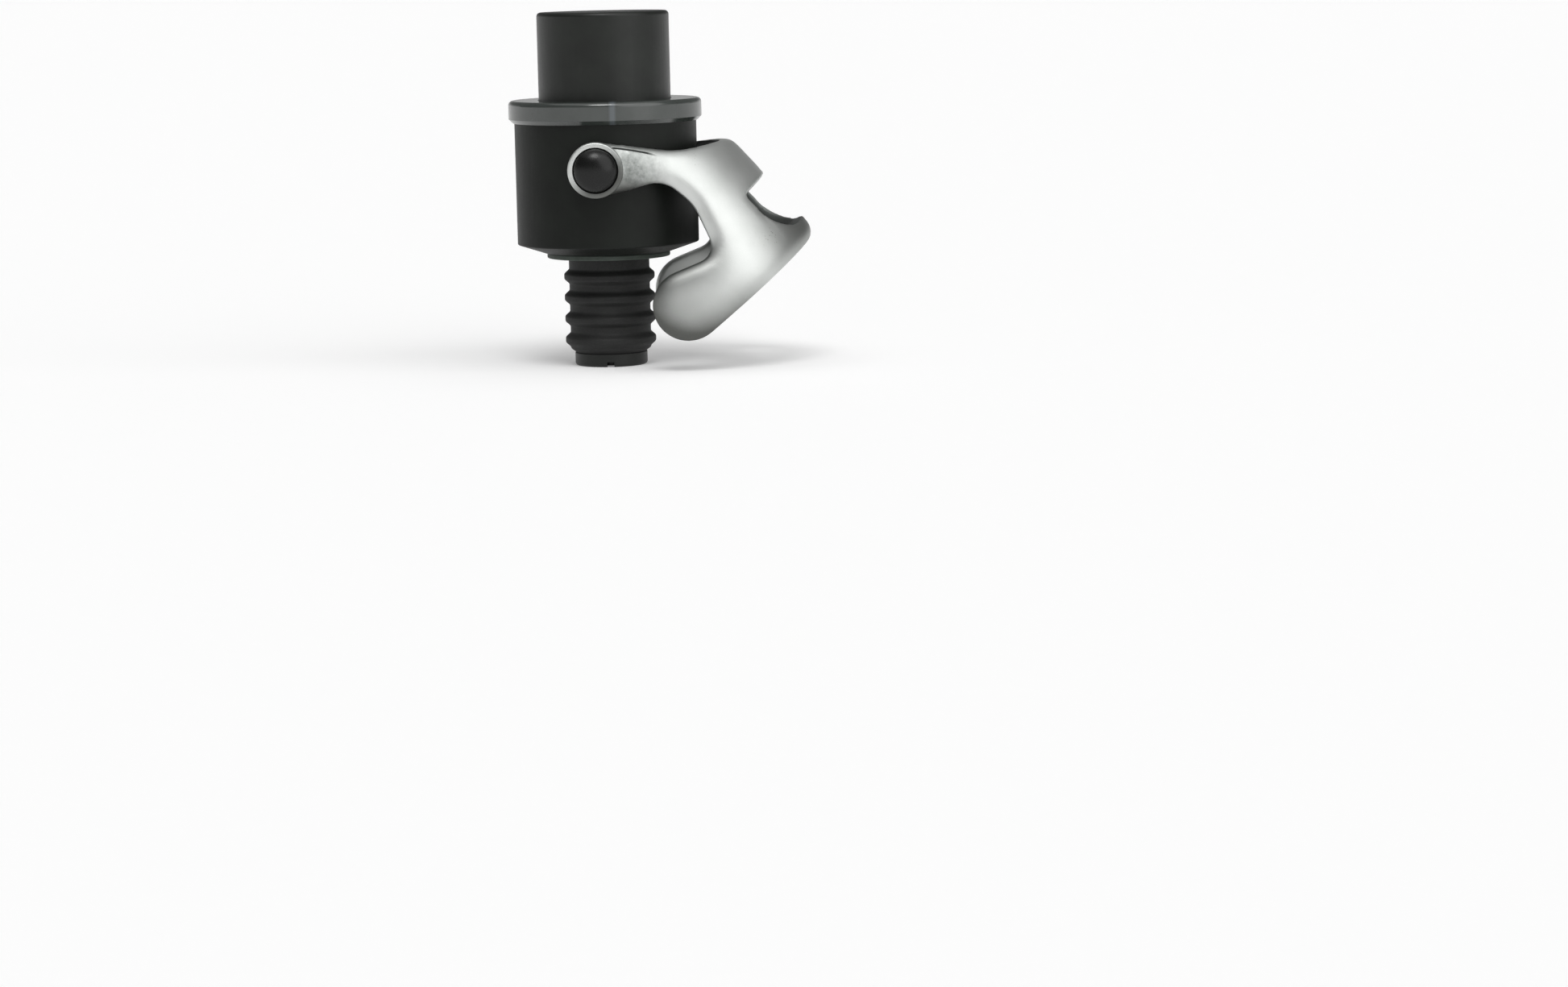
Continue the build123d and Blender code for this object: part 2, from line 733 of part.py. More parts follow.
for side, side_name in ((-1, "near"), (1, "far")):
    with BuildPart() as pivot_pin:
        with BuildSketch(pivot_plane):
            with BuildLine():
                Polyline(
                    (0, side * (pin_rim_reach + pin_dome_height)),
                    (0, side * (pad_reach - pin_tip_length)),
                    (pin_tip_radius, side * (pad_reach - pin_tip_length)),
                    (pin_tip_radius, side * pad_reach),
                    (pin_shank_radius, side * pad_reach),
                    (pin_shank_radius, side * pin_head_reach),
                    (pin_head_radius, side * pin_head_reach),
                    (pin_head_radius, side * pin_rim_reach),
                )
                ThreePointArc(
                    (pin_head_radius, side * pin_rim_reach),
                    (pin_head_radius / 2, side * dome_reach(pin_head_radius / 2)),
                    (0, side * (pin_rim_reach + pin_dome_height)),
                )
            make_face()
        revolve(axis=pivot_axis)
    save(pivot_pin.part, f"pivot_pin_{side_name}")

    with BuildPart() as pivot_washer:
        with BuildSketch(pivot_side_plane.offset(-side * pad_reach)):
            Circle(washer_radius)
            Circle(pin_shank_radius + pin_clearance, mode=Mode.SUBTRACT)
        extrude(amount=-side * washer_thickness)
    save(pivot_washer.part, f"pivot_washer_{side_name}")
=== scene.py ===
"""Looks of a clamp-down stopper with a hand pump. Metres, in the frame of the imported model."""

import json
from math import cos, pi, radians, sin, tau

import bmesh
import bpy
import numpy as np
from mathutils import Matrix, Vector
from mathutils.kdtree import KDTree


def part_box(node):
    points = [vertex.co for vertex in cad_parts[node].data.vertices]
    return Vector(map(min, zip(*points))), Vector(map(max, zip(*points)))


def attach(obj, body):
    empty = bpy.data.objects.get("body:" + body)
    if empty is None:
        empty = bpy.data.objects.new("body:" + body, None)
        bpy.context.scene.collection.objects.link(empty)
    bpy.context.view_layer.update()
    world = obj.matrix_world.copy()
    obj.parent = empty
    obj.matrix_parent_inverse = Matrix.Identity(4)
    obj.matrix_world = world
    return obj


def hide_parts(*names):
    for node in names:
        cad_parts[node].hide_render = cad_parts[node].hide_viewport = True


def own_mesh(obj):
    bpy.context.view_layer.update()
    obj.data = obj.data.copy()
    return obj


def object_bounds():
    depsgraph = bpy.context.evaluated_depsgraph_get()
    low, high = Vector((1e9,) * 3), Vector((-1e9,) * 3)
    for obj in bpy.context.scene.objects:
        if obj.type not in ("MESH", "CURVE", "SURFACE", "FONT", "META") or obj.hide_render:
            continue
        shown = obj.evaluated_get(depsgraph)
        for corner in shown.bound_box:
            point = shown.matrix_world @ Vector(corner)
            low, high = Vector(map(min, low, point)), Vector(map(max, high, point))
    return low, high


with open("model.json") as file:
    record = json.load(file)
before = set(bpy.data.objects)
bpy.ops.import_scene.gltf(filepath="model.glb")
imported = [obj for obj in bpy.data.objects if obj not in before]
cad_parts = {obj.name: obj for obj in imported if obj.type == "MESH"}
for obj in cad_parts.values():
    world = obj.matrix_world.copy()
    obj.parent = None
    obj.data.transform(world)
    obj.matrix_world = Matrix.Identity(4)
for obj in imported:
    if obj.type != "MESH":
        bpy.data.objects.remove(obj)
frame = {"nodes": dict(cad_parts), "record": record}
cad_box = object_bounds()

MM = 0.001

# Sizes in millimetres that the pieces here share with the solids
PIVOT = Vector((-1.6, 0.0, 18.2))
RAISED = radians(40.0)
LEVER_INNER_RADIUS = 18.4
EYE_RADIUS = 5.7
EYE_RIM_RADIUS = 5.4
EYE_REACH = 21.5
EYE_RIM_DEPTH, EYE_RIM_ROUND, RECESS_ROUND = 3.0, 0.3, 0.12
PIN_RECESS_RADIUS = 4.4
PIN_HEAD_RADIUS, PIN_SHANK_RADIUS, PIN_TIP_RADIUS = 4.3, 1.9, 1.5
PIN_TOP, PIN_RIM, PIN_HEAD_FOOT, PIN_PAD, PIN_END = 23.55, 21.1, 20.55, 18.1, 15.9
WINDOW_TOP, WINDOW_BOTTOM, WINDOW_HALF_WIDTH = -23.0, -34.2, 13.5
WINDOW_MARGIN = 0.8
PLUG_TOP, PLUG_LENGTH = 1.0, 19.0
PLUG_RIBS, PLUG_RIB_PITCH, PLUG_FIRST_RIB_DEPTH = 4, 4.2, 3.8
PLUG_RIB_RADIUS, PLUG_CORE_RADIUS, PLUG_NOSE_RADIUS, STEM_RADIUS = 9.0, 8.0, 7.0, 4.3
PLUG_RIB_HALF_LAND, PLUG_RIB_HALF_FOOT = 0.35, 1.6
SPRING_WIRE_RADIUS, SPRING_TURNS = 0.45, 9
WELDED = 0.001


def colour(code):
    """Linear colour of an sRGB hex code."""
    channels = [int(code[i : i + 2], 16) / 255 for i in (0, 2, 4)]
    linear = [c / 12.92 if c <= 0.04045 else ((c + 0.055) / 1.055) ** 2.4 for c in channels]
    return (*linear, 1.0)


def add_node(tree, kind, inputs=None, output=0, **settings):
    """Add a node with its settings, and give one of its outputs. An input is a value or a socket."""
    node = tree.nodes.new(kind)
    for name, value in settings.items():
        setattr(node, name, value)
    for name, value in (inputs or {}).items():
        if isinstance(value, bpy.types.NodeSocket):
            tree.links.new(value, node.inputs[name])
        else:
            node.inputs[name].default_value = value
    return node.outputs[output] if len(node.outputs) else node


def new_finish(name):
    """An empty material, its node tree, and the place on the object that its patterns read."""
    material = bpy.data.materials.new(name)
    material.use_nodes = True
    tree = material.node_tree
    tree.nodes.clear()
    return material, tree, add_node(tree, "ShaderNodeTexCoord", output="Object")


def mixed(tree, share, colour_at_0, colour_at_1):
    """Blend of two colours, each a value or a socket."""
    return add_node(
        tree, "ShaderNodeMix", {0: share, 6: colour_at_0, 7: colour_at_1}, output=2, data_type="RGBA"
    )


def noise(tree, place, size, detail):
    """Noise whose lumps are of a size in millimetres."""
    return add_node(
        tree, "ShaderNodeTexNoise", {"Vector": place, "Scale": 1 / (size * MM), "Detail": detail}
    )


# Materials

def moulded_plastic(name, dark, light, roughness, skin_depth_mm=0.004, gloss=0.5, rubbed=0.0, pale_line_at=None):
    """Injection-moulded plastic from a spark-eroded mould: an even satin skin with a fine grain,
    faintly cloudy where the melt flowed. Where it is rubbed, thin upright streaks are a little
    glossier. At the front it can show a paler, bluish upright line, its place given in millimetres
    along X."""
    material, tree, place = new_finish(name)
    clouds = noise(tree, place, 6, 4.0)
    # Grain of 0.05 mm drawn at 0.2 mm, coarse enough to show
    skin = noise(tree, place, 0.2, 3.0)
    cloudy = add_node(tree, "ShaderNodeMapRange", {"Value": clouds, "From Min": 0.35, "From Max": 0.65})
    body = mixed(tree, cloudy, colour(dark), colour(light))
    # Paler, bluish upright line at the front
    if pale_line_at is not None:
        across = tree.nodes.new("ShaderNodeSeparateXYZ")
        tree.links.new(place, across.inputs[0])
        off_pale_line = add_node(
            tree, "ShaderNodeMath", {0: across.outputs["X"], 1: -pale_line_at * MM}, operation="ADD"
        )
        off_pale_line = add_node(tree, "ShaderNodeMath", {0: off_pale_line}, operation="ABSOLUTE")
        front = add_node(tree, "ShaderNodeMath", {0: across.outputs["Y"], 1: 0.0}, operation="LESS_THAN")
        paler = add_node(
            tree,
            "ShaderNodeMapRange",
            {"Value": off_pale_line, "From Min": 0.3 * MM, "From Max": 0.8 * MM, "To Min": 0.5, "To Max": 0.0},
        )
        paler = add_node(tree, "ShaderNodeMath", {0: paler, 1: front}, operation="MULTIPLY")
        body = mixed(tree, paler, body, colour("61686E"))
    # Streaks 0.5 mm wide and 12 mm long
    upright = add_node(tree, "ShaderNodeMapping", {"Vector": place, "Scale": (1.0, 1.0, 0.04)})
    streaks = noise(tree, upright, 0.5, 2.0)
    streaky = add_node(
        tree,
        "ShaderNodeMapRange",
        {"Value": streaks, "From Min": 0.5, "From Max": 0.75, "To Min": 0.0, "To Max": -rubbed},
    )
    satin = add_node(
        tree,
        "ShaderNodeMapRange",
        {
            "Value": skin,
            "From Min": 0.3,
            "From Max": 0.7,
            "To Min": roughness - 0.05,
            "To Max": roughness + 0.05,
        },
    )
    shader = add_node(
        tree,
        "ShaderNodeBsdfPrincipled",
        {
            "Base Color": body,
            "Roughness": add_node(tree, "ShaderNodeMath", {0: satin, 1: streaky}, operation="ADD"),
            "IOR": 1.53,
            "Specular IOR Level": gloss,
            "Normal": add_node(tree, "ShaderNodeBump", {"Height": skin, "Distance": skin_depth_mm * MM}),
        },
    )
    add_node(tree, "ShaderNodeOutputMaterial", {"Surface": shader})
    return material


def moulded_rubber(name, dark, light):
    """Compression-moulded rubber: matt, with a soft fine tooth and a faint dusty bloom."""
    material, tree, place = new_finish(name)
    bloom = noise(tree, place, 3, 5.0)
    tooth = noise(tree, place, 0.2, 2.0)
    bloomed = add_node(tree, "ShaderNodeMapRange", {"Value": bloom, "From Min": 0.35, "From Max": 0.7})
    body = mixed(tree, bloomed, colour(dark), colour(light))
    matt = add_node(
        tree,
        "ShaderNodeMapRange",
        {"Value": tooth, "From Min": 0.3, "From Max": 0.7, "To Min": 0.6, "To Max": 0.75},
    )
    shader = add_node(
        tree,
        "ShaderNodeBsdfPrincipled",
        {
            "Base Color": body,
            "Roughness": matt,
            "IOR": 1.52,
            "Normal": add_node(tree, "ShaderNodeBump", {"Height": tooth, "Distance": 0.012 * MM}),
        },
    )
    add_node(tree, "ShaderNodeOutputMaterial", {"Surface": shader})
    return material


def plated_steel(name):
    """Zinc-plated drawn steel: pale grey with a soft gloss."""
    material, tree, place = new_finish(name)
    drawing = noise(tree, place, 0.3, 3.0)
    body = mixed(tree, drawing, colour("B4B6B8"), colour("CCCED0"))
    gloss = add_node(
        tree,
        "ShaderNodeMapRange",
        {"Value": drawing, "From Min": 0.3, "From Max": 0.7, "To Min": 0.22, "To Max": 0.34},
    )
    shader = add_node(
        tree,
        "ShaderNodeBsdfPrincipled",
        {
            "Base Color": body,
            "Metallic": 1.0,
            "Roughness": gloss,
            "Normal": add_node(tree, "ShaderNodeBump", {"Height": drawing, "Distance": 0.003 * MM}),
        },
    )
    add_node(tree, "ShaderNodeOutputMaterial", {"Surface": shader})
    return material


def blasted_zinc(name):
    """Zinc die casting, bead-blasted: a bright satin grey whose dimples blur all that it mirrors. Left
    by the casting are a mottled patch by each eye, two patches of small pits on the near arm and a
    fine step along each arm's top edge, drawn with a dark line of painted shade. The inside is rougher
    and painted darker as shade. The tab, the lower halves of the eyes and the jaws are painted darker,
    most along the jaws' edges: painted shade, and painted reflection of dark things close by."""
    material, tree, place = new_finish(name)
    flat = add_node(tree, "ShaderNodeVectorMath", {0: place, 1: (1.0, 0.0, 1.0)}, operation="MULTIPLY")
    # Dimples of 0.1 mm drawn at 0.25 mm, coarse enough to show
    dimples = noise(tree, place, 0.25, 3.0)
    waves = noise(tree, place, 5, 2.0)
    body = mixed(tree, waves, colour("CBCECB"), colour("DADCDA"))

    # Mottled patch by the eye, lumps 0.9 mm across
    from_patch = add_node(
        tree,
        "ShaderNodeVectorMath",
        {0: flat, 1: (5.2 * MM, 0.0, 17.9 * MM)},
        output="Value",
        operation="DISTANCE",
    )
    mottle = noise(tree, place, 0.9, 5.0)
    patch = add_node(
        tree,
        "ShaderNodeMapRange",
        {"Value": from_patch, "From Min": 2.0 * MM, "From Max": 8.0 * MM, "To Min": 1.0, "To Max": 0.0},
    )
    spots = add_node(
        tree, "ShaderNodeMapRange", {"Value": mottle, "From Min": 0.3, "From Max": 0.7, "To Min": 0.5}
    )
    mottled = add_node(tree, "ShaderNodeMath", {0: patch, 1: spots}, operation="MULTIPLY")
    body = mixed(tree, mottled, body, colour("868A87"))

    # Two patches of pits on the near arm, each pit about 0.25 mm across
    pits = 0.0
    for middle, size in (((18.0, -17.5, 20.6), 5.0), ((32.3, -16.0, 4.6), 6.0)):
        from_middle = add_node(
            tree,
            "ShaderNodeVectorMath",
            {0: place, 1: tuple(c * MM for c in middle)},
            output="Value",
            operation="DISTANCE",
        )
        near = add_node(
            tree,
            "ShaderNodeMapRange",
            {"Value": from_middle, "From Min": 0.0, "From Max": size * MM, "To Min": 0.25, "To Max": 0.0},
        )
        pits = add_node(tree, "ShaderNodeMath", {0: pits, 1: near}, operation="MAXIMUM")
    cells = add_node(
        tree, "ShaderNodeTexVoronoi", {"Vector": place, "Scale": 1 / (0.7 * MM)}, output="Distance"
    )
    pitted = add_node(tree, "ShaderNodeMath", {0: pits, 1: cells}, operation="SUBTRACT")
    pitted = add_node(tree, "ShaderNodeMapRange", {"Value": pitted, "From Min": 0.0, "From Max": 0.12})
    body = mixed(tree, pitted, body, colour("9A9C99"))

    # Fine step 1 mm under the top edge of each arm's outer face: a shallow arch, up to 10 mm behind the
    # axis, drawn with a dark line of painted shade in the step
    axes = tree.nodes.new("ShaderNodeSeparateXYZ")
    tree.links.new(place, axes.inputs[0])
    back, height = axes.outputs["X"], axes.outputs["Z"]
    bend = add_node(tree, "ShaderNodeMath", {0: back, 1: -0.7 * MM}, operation="ADD")
    arch = add_node(tree, "ShaderNodeMath", {0: back, 1: -8.66, 2: -0.096}, operation="MULTIPLY_ADD")
    arch = add_node(tree, "ShaderNodeMath", {0: bend, 1: arch, 2: 22.6 * MM}, operation="MULTIPLY_ADD")
    above = add_node(tree, "ShaderNodeMath", {0: height, 1: arch}, operation="SUBTRACT")
    off_line = add_node(tree, "ShaderNodeMath", {0: above}, operation="ABSOLUTE")
    line = add_node(
        tree,
        "ShaderNodeMapRange",
        {"Value": off_line, "From Min": 0.12 * MM, "From Max": 0.2 * MM, "To Min": 1.0, "To Max": 0.0},
    )
    along = add_node(
        tree,
        "ShaderNodeMapRange",
        {"Value": back, "From Min": 8.5 * MM, "From Max": 10.5 * MM, "To Min": 1.0, "To Max": 0.0},
    )
    started = add_node(
        tree, "ShaderNodeMapRange", {"Value": back, "From Min": 1.4 * MM, "From Max": 2.0 * MM}
    )
    line = add_node(tree, "ShaderNodeMath", {0: line, 1: along}, operation="MULTIPLY")
    line = add_node(tree, "ShaderNodeMath", {0: line, 1: started}, operation="MULTIPLY")
    turned = tree.nodes.new("ShaderNodeSeparateXYZ")
    tree.links.new(add_node(tree, "ShaderNodeTexCoord", output="Normal"), turned.inputs[0])
    outwards = add_node(tree, "ShaderNodeMath", {0: turned.outputs["Y"]}, operation="ABSOLUTE")
    outwards = add_node(
        tree, "ShaderNodeMapRange", {"Value": outwards, "From Min": 0.4, "From Max": 0.55}
    )
    line = add_node(tree, "ShaderNodeMath", {0: line, 1: outwards}, operation="MULTIPLY")
    # The step's dark line is painted shade
    body = mixed(tree, line, body, colour("3A3C3A"))

    # Painted shade and painted dark reflections on the tab, eyes and jaws, and painted shade on the
    # rougher inside
    shade_share = add_node(tree, "ShaderNodeAttribute", output="Fac", attribute_name="painted_shade")
    body = mixed(tree, shade_share, body, colour("626360"))
    # Inner faces painted darker as shade; they are also rougher
    rough_shaded_inside = add_node(tree, "ShaderNodeAttribute", output="Fac", attribute_name="rough_shaded_inside")
    body = mixed(tree, rough_shaded_inside, body, colour("5C5F5D"))

    satin = add_node(
        tree,
        "ShaderNodeMapRange",
        {"Value": dimples, "From Min": 0.3, "From Max": 0.7, "To Min": 0.4, "To Max": 0.5},
    )
    coarse = add_node(tree, "ShaderNodeMath", {0: mottled, 1: rough_shaded_inside}, operation="MAXIMUM")
    rough = add_node(tree, "ShaderNodeMath", {0: coarse, 1: 0.14, 2: satin}, operation="MULTIPLY_ADD")
    shallow = add_node(tree, "ShaderNodeMath", {0: pitted, 1: 0.35}, operation="MULTIPLY")
    sunk = add_node(tree, "ShaderNodeMath", {0: shallow, 1: line}, operation="MAXIMUM")
    proud = add_node(tree, "ShaderNodeMath", {0: 1.0, 1: sunk}, operation="SUBTRACT")
    skin = add_node(tree, "ShaderNodeBump", {"Height": dimples, "Distance": 0.014 * MM})
    skin = add_node(tree, "ShaderNodeBump", {"Height": proud, "Distance": 0.08 * MM, "Normal": skin})
    shader = add_node(
        tree,
        "ShaderNodeBsdfPrincipled",
        {
            "Base Color": body,
            "Metallic": 1.0,
            "Roughness": rough,
            "Normal": skin,
        },
    )
    add_node(tree, "ShaderNodeOutputMaterial", {"Surface": shader})
    return material


finishes = {
    "gasket_rubber": moulded_rubber("moulded nitrile gasket", "363F38", "424B44"),
    "plug_rubber": moulded_rubber("moulded nitrile plug", "0E0F0E", "161716"),
    "seal_rubber": moulded_rubber("moulded nitrile seal", "101010", "171717"),
    "valve_rubber": moulded_rubber("moulded silicone valve", "8E8E88", "A0A09A"),
    "plug_retainer": moulded_plastic("moulded nylon retainer", "101210", "171A17", 0.42, gloss=0.35),
    "valve_stem": moulded_plastic("moulded nylon stem", "161816", "1E211E", 0.4),
    "housing_black": moulded_plastic("moulded ABS housing", "0B0E0B", "111511", 0.5, 0.008, 0.2, 0.05),
    "knob_black": moulded_plastic("moulded ABS knob", "0E110E", "161A16", 0.42, 0.006, 0.36, 0.09),
    "ring_grey": moulded_plastic("moulded ABS ring", "2E3330", "363B38", 0.2, 0.002, 0.85, pale_line_at=1.9),
    "pin_black": moulded_plastic("moulded acetal pin", "030403", "050605", 0.3, 0.002, 0.34),
    "washer_plastic": moulded_plastic("moulded acetal washer", "C4C4BE", "CFCFC9", 0.4),
    "bush_plastic": moulded_plastic("moulded acetal bush", "3A3A3A", "444444", 0.36),
    "barrel_plastic": moulded_plastic("moulded polycarbonate barrel", "B8B8B2", "C6C6C0", 0.25),
    "rod_plastic": moulded_plastic("moulded acetal rod", "B0B0AA", "BCBCB6", 0.36),
    "screw_steel": plated_steel("zinc-plated steel screw"),
    "spring_steel": plated_steel("zinc-plated steel spring"),
    "lever_cast": blasted_zinc("bead-blasted zinc casting"),
}

for part in frame["record"]["subparts"]:
    for material_slot in frame["nodes"][part["node"]].material_slots:
        material_slot.material = finishes[part["material_slot"]]


def new_object(name, mesh):
    made = bpy.data.objects.new(name, mesh)
    bpy.context.scene.collection.objects.link(made)
    return made


def new_piece(name, mesh, body, finish, node):
    """Piece that rides on a body and stands for one of its nodes."""
    mesh.materials.clear()
    mesh.materials.append(finishes[finish])
    piece = new_object(name, mesh)
    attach(piece, body)
    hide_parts(node)
    return piece


def plain_mesh(carrier):
    """Mesh of an object with its modifiers applied. The object goes."""
    result = bpy.data.meshes.new_from_object(carrier.evaluated_get(bpy.context.evaluated_depsgraph_get()))
    bpy.data.objects.remove(carrier)
    return result


def new_rule(name, sizes, counts):
    """Geometry Nodes tree with an input for each size and count, and those inputs."""
    tree = bpy.data.node_groups.new(name, "GeometryNodeTree")
    for values, kind in ((sizes, "NodeSocketFloat"), (counts, "NodeSocketInt")):
        for value_name in values:
            tree.interface.new_socket(value_name, in_out="INPUT", socket_type=kind)
    tree.interface.new_socket("Made", in_out="OUTPUT", socket_type="NodeSocketGeometry")
    return tree, tree.nodes.new("NodeGroupInput").outputs


def made_by(tree, made, finish, values):
    """End a tree in its finish, and give the mesh that it makes from the values of its inputs."""
    made = add_node(tree, "GeometryNodeRealizeInstances", {"Geometry": made})
    made = add_node(tree, "GeometryNodeSetMaterial", {"Geometry": made, "Material": finishes[finish]})
    add_node(tree, "NodeGroupOutput", {"Made": made})
    carrier = new_object("carrier", bpy.data.meshes.new("carrier"))
    maker = carrier.modifiers.new("maker", "NODES")
    maker.node_group = tree
    for socket in tree.interface.items_tree:
        if socket.in_out == "INPUT":
            maker[socket.identifier] = values[socket.name]
    return plain_mesh(carrier)


# Lever: the casting in small even faces, its outer face crowned between its edges

lever_mesh = frame["nodes"]["lever"].data.copy()
casting = bmesh.new()
casting.from_mesh(lever_mesh)
bmesh.ops.remove_doubles(casting, verts=casting.verts, dist=WELDED * MM)
casting.to_mesh(lever_mesh)
casting.free()
carrier = new_object("carrier", lever_mesh)
even = carrier.modifiers.new("even", "REMESH")
even.mode = "VOXEL"
even.voxel_size = 0.285 * MM
settle = carrier.modifiers.new("settle", "CORRECTIVE_SMOOTH")
settle.use_only_smooth = True
settle.factor, settle.iterations = 0.5, 3
lever_mesh = plain_mesh(carrier)


def blended(value, low, high):
    """Smooth rise from 0 at low to 1 at high."""
    share = np.clip((value - low) / (high - low), 0.0, 1.0)
    return share * share * (3 - 2 * share)


count = len(lever_mesh.vertices)
points, normals = np.empty(count * 3), np.empty(count * 3)
lever_mesh.vertices.foreach_get("co", points)
lever_mesh.vertex_normals.foreach_get("vector", normals)
edges = np.empty(len(lever_mesh.edges) * 2, dtype=np.int64)
lever_mesh.edges.foreach_get("vertices", edges)
edges = edges.reshape(-1, 2)
neighbours = np.bincount(edges.ravel(), minlength=count)


def evened(values, rounds):
    """Values at the vertices, each averaged with its neighbours."""
    for _ in range(rounds):
        total = np.bincount(edges[:, 0], values[edges[:, 1]], count)
        total += np.bincount(edges[:, 1], values[edges[:, 0]], count)
        values = total / neighbours
    return values


# Heights in the locked pose, and there the wall's thickness, the crown's width in from the edge and the
# share of the wall that it takes off at the edge. The crown is flatter at the back.
WALL_AT_HEIGHTS = ((-38.5, -18.0, 6.7), (4.0, 3.5, 2.1))
CROWN_WIDTH_AT_HEIGHTS = ((-32.0, -12.0), (7.5, 4.6))
CROWN_SHARE_AT_HEIGHTS = ((-32.0, -20.0), (0.6, 0.42))
FLATTER_AT_BACK = 0.6
SOFT_ROUNDS, TUMBLED_ROUNDS, LIP_ROUNDS = 30, 8, 60

# In the lever's locked pose its wall stands upright round the stopper's axis
to_locked = np.array(Matrix.Rotation(RAISED, 3, "Y"))
locked = (points.reshape(-1, 3) / MM - np.array(PIVOT)) @ to_locked.T
locked_normals = normals.reshape(-1, 3) @ to_locked.T
outward = np.stack([np.maximum(locked[:, 0] + PIVOT.x, 0.0), locked[:, 1], np.zeros(count)], axis=1)
reach = np.linalg.norm(outward, axis=1)
outward /= reach[:, None]
facing = (locked_normals * outward).sum(axis=1)
from_eye = np.hypot(locked[:, 0], locked[:, 2])
in_wall = reach > LEVER_INNER_RADIUS + 0.5
window_middle, window_half_height = (WINDOW_TOP + WINDOW_BOTTOM) / 2, (WINDOW_TOP - WINDOW_BOTTOM) / 2
beside_window = np.abs(locked[:, 2] - window_middle) < window_half_height + WINDOW_MARGIN
beside_window &= (np.abs(locked[:, 1]) < WINDOW_HALF_WIDTH + WINDOW_MARGIN) & (locked[:, 0] > 0)
on_rim = (facing < 0.05) & (facing > -0.6) & in_wall & (from_eye > EYE_RADIUS + 0.5) & ~beside_window
rim = KDTree(int(on_rim.sum()))
for number, place in enumerate(locked[on_rim]):
    rim.insert(place, number)
rim.balance()
outer = np.nonzero((facing > 0.0) & in_wall & (from_eye > EYE_RADIUS))[0]
inset = np.array([rim.find(locked[i])[2] for i in outer])
height = locked[outer, 2]
wall = np.interp(height, *WALL_AT_HEIGHTS)
crown_width = np.interp(height, *CROWN_WIDTH_AT_HEIGHTS)
rise = np.minimum(1 - np.clip(inset / crown_width, 0.0, 1.0), 0.995)
depth = np.zeros(count)
crown = np.interp(height, *CROWN_SHARE_AT_HEIGHTS) * wall
crown *= 1 - FLATTER_AT_BACK * blended(outward[outer, 0], 0.8, 0.97)
depth[outer] = crown * (1 - np.sqrt(1 - rise**2)) * blended(facing[outer], 0.0, 0.6)
depth *= blended(from_eye, EYE_RADIUS, EYE_RADIUS + 2.5)
locked -= outward * evened(depth, 10)[:, None]

# The crown runs softly into the rounded edges, every other edge is a little round too, and the ends of
# the lip inside the jaws are rounded most
soft = blended(facing, 0.05, 0.4) * blended(from_eye, EYE_RADIUS + 0.5, EYE_RADIUS + 3.0) * in_wall
soft = evened(np.where(beside_window, 0.0, soft), 4)
tumbled = blended(from_eye, EYE_RADIUS, EYE_RADIUS + 1.5) * np.where(beside_window, 0.4, 1.0)
lip_ends = blended(-locked[:, 0], 4.5, 8.0) * (1 - blended(locked[:, 2], -34.0, -32.5))
lip_ends *= 1 - blended(np.abs(locked[:, 1]), LEVER_INNER_RADIUS, LEVER_INNER_RADIUS + 1.5)
lip_ends = evened(lip_ends, 4)
for share, rounds in ((soft, SOFT_ROUNDS), (tumbled, TUMBLED_ROUNDS), (lip_ends, LIP_ROUNDS)):
    locked += share[:, None] * (np.stack([evened(line, rounds) for line in locked.T], axis=1) - locked)

# The eyes shrink and their tops sink under the crisp rims that are added below
drawn_in = blended(from_eye, 4.6, 5.4) * (1 - blended(from_eye, 5.9, 8.0))
drawn_in *= np.abs(locked[:, 1]) > LEVER_INNER_RADIUS
locked[:, (0, 2)] *= (1 - 0.35 * drawn_in / np.maximum(from_eye, 1.0))[:, None]
boss = (from_eye < EYE_RADIUS + 0.3) & (np.abs(locked[:, 1]) > EYE_REACH - 0.9)
locked[boss, 1] = np.sign(locked[boss, 1]) * np.minimum(np.abs(locked[boss, 1]), EYE_REACH - 0.3)
lever_mesh.vertices.foreach_set("co", ((locked @ to_locked + np.array(PIVOT)) * MM).ravel())

# Where painted shade and painted dark reflections darken it: round the tab, under the eyes, at the
# jaws' ends and most along their edges. Middles in X and Z, seen from the side.
rest = points.reshape(-1, 3) / MM
TAB, JAW_END, JAW_ROOT, JAW_INSIDE = (40.0, 7.0), (13.0, -16.0), (17.0, -12.0), (13.0, -14.0)
TAB_SHARE, JAW_SHARE, RIM_SHARE, EYE_SHARE = 0.75, 0.6, 0.7, 0.92


def away(middle, near, far):
    """Share from 0 near a middle to 1 far from it, seen from the side."""
    return blended(np.hypot(rest[:, 0] - middle[0], rest[:, 2] - middle[1]), near, far)


def eye_shade_share(across, up):
    """Share of painted shade on an eye at a place beside its middle: most below it and towards the arm.
    """
    towards = (0.5 * across - 0.87 * up) / np.maximum(np.hypot(across, up), 0.1)
    return EYE_SHARE * blended(towards, -0.45, 0.8)


# Shares of painted shade and painted dark reflection at the tab, the jaws, their edges and the eyes
near_tab = 1 - away(TAB, 0.0, 15.0)
near_jaw = 1 - away(JAW_END, 2.0, 15.0)
near_rim = np.zeros(count)
near_rim[outer] = 1 - blended(inset, 0.0, 6.0)
near_rim *= 1 - away(JAW_ROOT, 8.0, 20.0)
across, up = rest[:, 0] - PIVOT.x, rest[:, 2] - PIVOT.z
near_eye = eye_shade_share(across, up) * blended(-up, 0.5, 4.0)
near_eye *= 1 - blended(np.hypot(across, up), EYE_RADIUS + 1.0, EYE_RADIUS + 7.0)
painted_shade = lever_mesh.attributes.new("painted_shade", "FLOAT", "POINT")
jaw_shade = JAW_SHARE * near_jaw + RIM_SHARE * near_rim
darkest_shade = np.maximum(np.maximum(TAB_SHARE * near_tab, near_eye), jaw_shade)
painted_shade.data.foreach_set("value", evened(np.minimum(darkest_shade, 1.0), 4))
